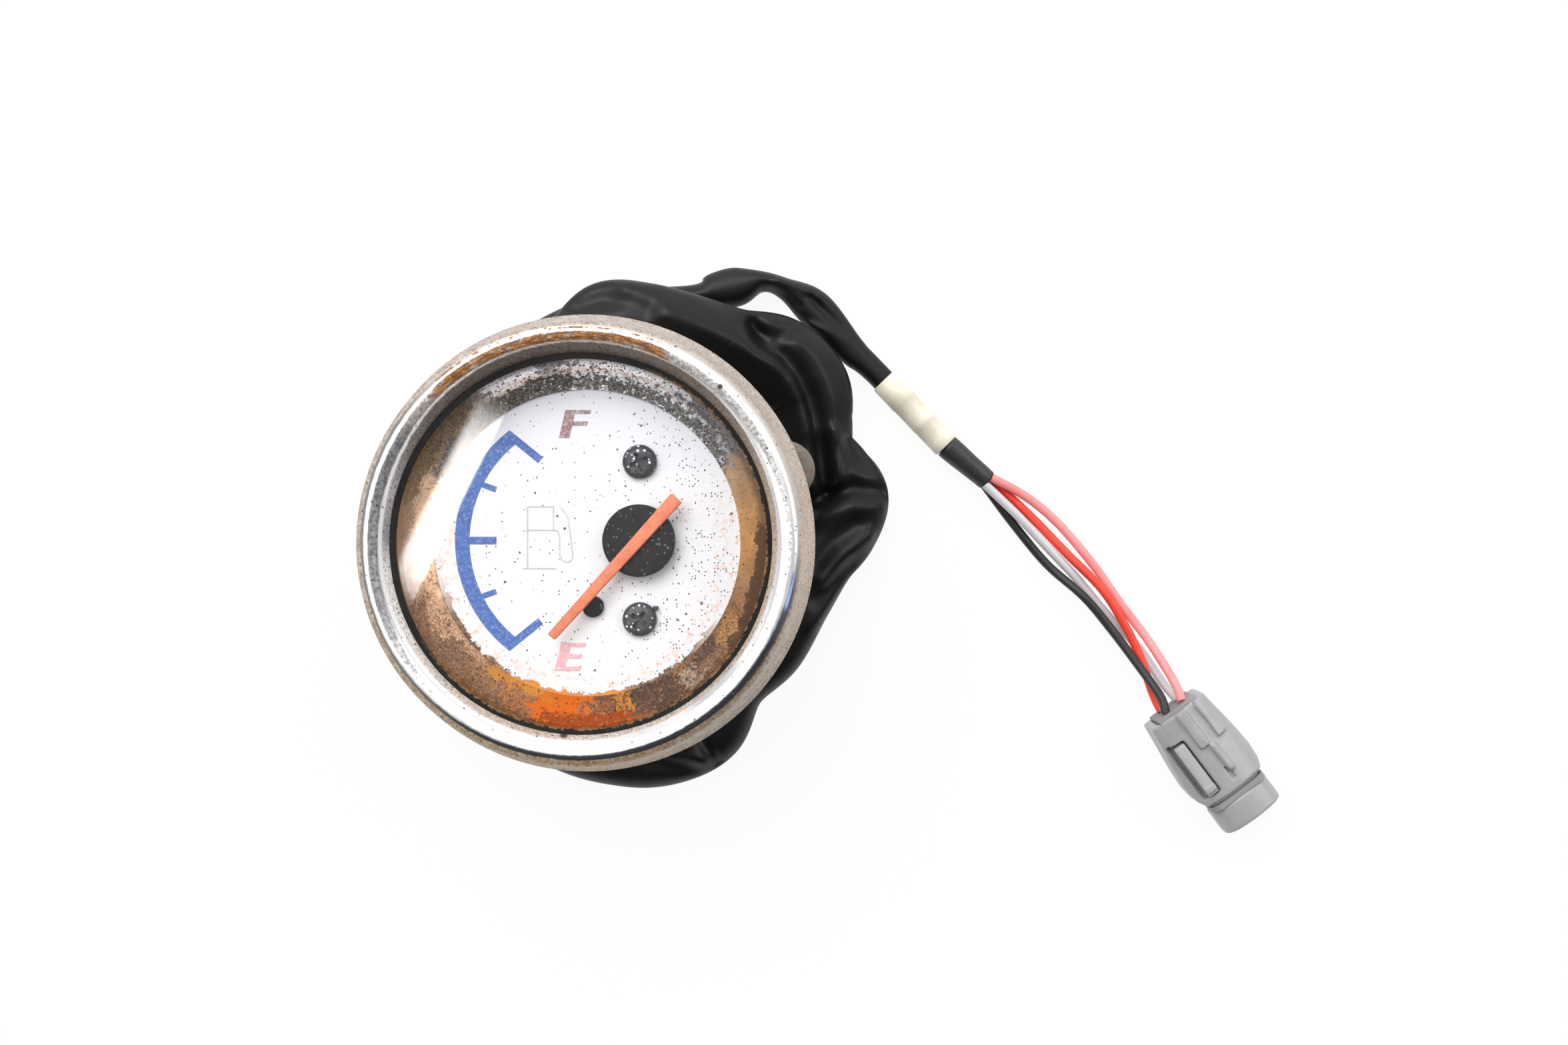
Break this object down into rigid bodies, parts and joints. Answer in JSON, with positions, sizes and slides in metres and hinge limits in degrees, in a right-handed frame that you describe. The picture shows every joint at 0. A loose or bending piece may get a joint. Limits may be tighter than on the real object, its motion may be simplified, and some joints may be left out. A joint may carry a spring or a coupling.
{
  "type": "round fuel gauge",
  "caption": "Round air-core fuel gauge in a steel case with chrome bezel, flat glass and white dial, and a sheathed wire harness wound round it that ends in a sealed plug.",
  "frame": {"origin": "centre of the base plane at the tips of the three studs, on the gauge's axis", "axes": "+Z out of the glass, +Y towards 12 o'clock on the dial, +X towards 3 o'clock"},
  "size_m": [0.1688, 0.1075, 0.056],
  "materials": {
    "bezel_metal": "pitted chrome with rust",
    "black_rubber": "matt",
    "clear_glass": "clear",
    "reflector_metal": "corroded chrome",
    "dial_white": "matt paint",
    "print_blue": "matt print",
    "print_red": "faded print",
    "print_grey": "faded print",
    "black_metal": "dusty black",
    "black_plastic": "dusty matt",
    "needle_orange": "faded matt",
    "plain_steel": "zinc plated",
    "magnet_dark": "sintered",
    "brass": "plain",
    "ivory_plastic": "moulded",
    "copper_wire": "enamelled copper",
    "board": "laminate",
    "ceramic": "ceramic",
    "lamp_glass": "clear",
    "case_steel": "dull grey, some rust",
    "black_vinyl": "soft matt vinyl",
    "ivory_tape": "matt tape",
    "wire_black": "satin",
    "wire_white": "satin",
    "wire_red": "satin",
    "wire_pink": "satin",
    "connector_grey": "moulded",
    "seal_rubber": "soft"
  },
  "bodies": {
    "gauge": {"bezel_ring": "bezel_metal", "lens_gasket": "black_rubber", "lens_glass": "clear_glass", "reflector_ring": "reflector_metal", "case_gasket": "black_rubber", "dial_plate": "dial_white", "dial_scale": "print_blue", "dial_letters": "print_red", "dial_pump_mark": "print_grey", "dial_screws": "black_metal", "dial_peg": "black_plastic", "stop_plate": "plain_steel", "upper_bush": "brass", "lower_bearing": "brass", "bobbin_upper": "ivory_plastic", "bobbin_lower": "ivory_plastic", "coil_a": "copper_wire", "coil_b": "copper_wire", "shield_can": "plain_steel", "movement_frame": "ivory_plastic", "movement_board": "board", "board_pins": "brass", "ballast_resistor": "ceramic", "movement_screws": "plain_steel", "lamp_socket": "black_plastic", "lamp_bulb": "lamp_glass", "lamp_contacts": "brass", "case_can": "case_steel", "case_studs": "plain_steel", "mounting_bracket": "case_steel", "stud_washers": "plain_steel", "stud_nuts": "plain_steel", "wire_boot": "black_rubber", "inner_leads": "wire_red", "harness_sheath": "black_vinyl", "marker_tape": "ivory_tape", "end_sleeve": "black_rubber", "wire_black": "wire_black", "wire_white": "wire_white", "wire_red": "wire_red", "wire_pink": "wire_pink", "connector_housing": "connector_grey", "wire_seal": "seal_rubber", "connector_terminals": "brass", "nose_seal": "seal_rubber"},
    "needle_rotor": {"needle": "needle_orange", "hub_cap": "black_plastic", "rotor_shaft": "plain_steel", "rotor_magnet": "magnet_dark", "stop_arm": "brass"},
    "latch": {"connector_latch": "connector_grey"}
  },
  "joints": [
    {"name": "needle_swing", "type": "hinge", "parent": "gauge", "child": "needle_rotor", "pos_m": [0.0088, 0.0004, 0.045], "axis": [0, 0, -1], "range_deg": [0, 90]},
    {"name": "latch_press", "type": "hinge", "parent": "gauge", "child": "latch", "pos_m": [0.10664, -0.03856, 0.0092], "axis": [0.7986, 0.6018, 0], "range_deg": [0, 4], "stiffness_Nm_per_rad": 0.0004, "springref_deg": -5.73}
  ]
}
